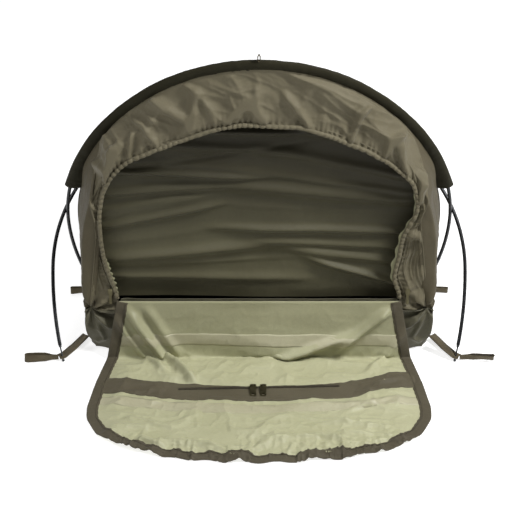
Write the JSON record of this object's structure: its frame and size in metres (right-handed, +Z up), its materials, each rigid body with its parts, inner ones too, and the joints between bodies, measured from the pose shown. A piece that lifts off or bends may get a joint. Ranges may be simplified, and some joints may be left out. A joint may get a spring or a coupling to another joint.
{
  "type": "bivy sack",
  "caption": "Hooped bivy sack for a single sleeper, pitched: tub floor, arched hood, netted entrance with a fold-out zipped door, crossing poles in sleeves, rolled foot end, peg loops.",
  "frame": {"origin": "on the ground, on the centre plane, midway between the two points where the poles cross", "axes": "+X to the right when looking into the entrance, +Y from the entrance towards the foot end, +Z up"},
  "size_m": [1.036, 1.67, 0.7086],
  "materials": {
    "body_cloth": "fine ripstop weave, water-resistant, soft sheen",
    "sleeve_cloth": "dark olive plain weave",
    "tub_cloth": "coated plain weave",
    "net": "fine dark olive mesh",
    "door_cloth": "light sage green coated inner face",
    "binding": "grey-brown woven tape, stitched",
    "zip_tape": "grey-brown woven band",
    "zip_coil": "nylon coil",
    "seam_tape": "heat-welded seam tape",
    "slider_metal": "dark bronze plating, worn edges",
    "grommet": "dark bronze plating",
    "elastic": "elastic cord in a cloth hem",
    "webbing": "dark olive woven webbing",
    "pole": "dark grey anodised tube",
    "ferrule": "bright tube",
    "pole_tip": "machined pin with a round nub",
    "shock_cord": "braided elastic cord"
  },
  "bodies": {
    "bivy_body": {"entrance_zip": "zip_coil", "floor_panel": "tub_cloth", "foot_panel": "body_cloth", "foot_roll": "body_cloth", "front_pole_ferrules": "ferrule", "front_pole_section_1": "pole", "front_pole_section_2": "pole", "front_pole_section_3": "pole", "front_pole_section_4": "pole", "front_pole_section_5": "pole", "front_pole_tips": "pole_tip", "front_shock_cord": "shock_cord", "front_strap_left": "webbing", "front_strap_right": "webbing", "hang_loop": "webbing", "hood": "body_cloth", "hood_elastic": "elastic", "mosquito_net": "net", "rear_pole_ferrules": "ferrule", "rear_pole_section_1": "pole", "rear_pole_section_2": "pole", "rear_pole_section_3": "pole", "rear_pole_section_4": "pole", "rear_pole_section_5": "pole", "rear_pole_tips": "pole_tip", "rear_shock_cord": "shock_cord", "rear_strap_left": "webbing", "rear_strap_right": "webbing", "roof_panel": "body_cloth", "side_gusset_left": "body_cloth", "side_gusset_right": "body_cloth", "side_panel_left": "body_cloth", "side_panel_right": "body_cloth", "sleeve_front": "sleeve_cloth", "sleeve_rear": "sleeve_cloth", "strap_grommets": "grommet", "tail_panel": "body_cloth", "tub_wall_foot": "tub_cloth", "tub_wall_front": "tub_cloth", "tub_wall_left": "tub_cloth", "tub_wall_right": "tub_cloth"},
    "door_apron": {"door_apron": "door_cloth", "apron_binding": "binding", "apron_seam_tape": "seam_tape"},
    "door_main": {"door_panel": "door_cloth", "door_binding": "binding", "door_zip_band": "zip_tape", "door_seam_tape": "seam_tape", "door_zip_coil": "zip_coil"},
    "zip_slider_left": {"zip_slider_left": "slider_metal"},
    "zip_slider_right": {"zip_slider_right": "slider_metal"},
    "zip_pull_left": {"zip_pull_left": "slider_metal"},
    "zip_pull_right": {"zip_pull_right": "slider_metal"},
    "entrance_slider_left": {"entrance_slider_left": "slider_metal"},
    "entrance_slider_right": {"entrance_slider_right": "slider_metal"},
    "front_peg_loop_left": {"front_peg_loop_left": "webbing"},
    "front_peg_loop_right": {"front_peg_loop_right": "webbing"},
    "rear_peg_loop_left": {"rear_peg_loop_left": "webbing"},
    "rear_peg_loop_right": {"rear_peg_loop_right": "webbing"}
  },
  "joints": [
    {"name": "door_lift", "type": "hinge", "parent": "bivy_body", "child": "door_apron", "pos_m": [0, -0.166, 0.137], "axis": [-1, 0, 0], "range_deg": [0, 171.67]},
    {"name": "door_fold", "type": "hinge", "parent": "door_apron", "child": "door_main", "pos_m": [0, -0.1862, 0.0016], "axis": [-1, 0, 0], "range_deg": [-82, 0]},
    {"name": "zip_slide_left", "type": "slide", "parent": "door_main", "child": "zip_slider_left", "axis": [-1, 0, 0], "range_m": [0, 0.15]},
    {"name": "zip_pull_flip_left", "type": "hinge", "parent": "zip_slider_left", "child": "zip_pull_left", "pos_m": [-0.013, -0.303, 0.0105], "axis": [-1, 0, 0], "range_deg": [0, 155]},
    {"name": "entrance_slide_left", "type": "slide", "parent": "bivy_body", "child": "entrance_slider_left", "axis": [-0.1756, 0, 0.9845], "range_m": [0, 0.12]},
    {"name": "front_peg_lift_left", "type": "hinge", "parent": "bivy_body", "child": "front_peg_loop_left", "pos_m": [-0.44402, -0.19294, 0.0093], "axis": [0, 1, 0], "range_deg": [0, 80]},
    {"name": "rear_peg_lift_left", "type": "hinge", "parent": "bivy_body", "child": "rear_peg_loop_left", "pos_m": [-0.39434, 0.0946, 0.0093], "axis": [0, 1, 0], "range_deg": [0, 50]},
    {"name": "zip_slide_right", "type": "slide", "parent": "door_main", "child": "zip_slider_right", "axis": [1, 0, 0], "range_m": [0, 0.15]},
    {"name": "zip_pull_flip_right", "type": "hinge", "parent": "zip_slider_right", "child": "zip_pull_right", "pos_m": [0.009, -0.303, 0.0105], "axis": [-1, 0, 0], "range_deg": [0, 155]},
    {"name": "entrance_slide_right", "type": "slide", "parent": "bivy_body", "child": "entrance_slider_right", "axis": [0.1756, 0, 0.9845], "range_m": [0, 0.12]},
    {"name": "front_peg_lift_right", "type": "hinge", "parent": "bivy_body", "child": "front_peg_loop_right", "pos_m": [0.44402, -0.19294, 0.0093], "axis": [0, -1, 0], "range_deg": [0, 80]},
    {"name": "rear_peg_lift_right", "type": "hinge", "parent": "bivy_body", "child": "rear_peg_loop_right", "pos_m": [0.39434, 0.0946, 0.0093], "axis": [0, -1, 0], "range_deg": [0, 50]}
  ],
  "couplings": [
    {"joint": "door_fold", "follows": "door_lift", "ratio": -0.47573}
  ]
}
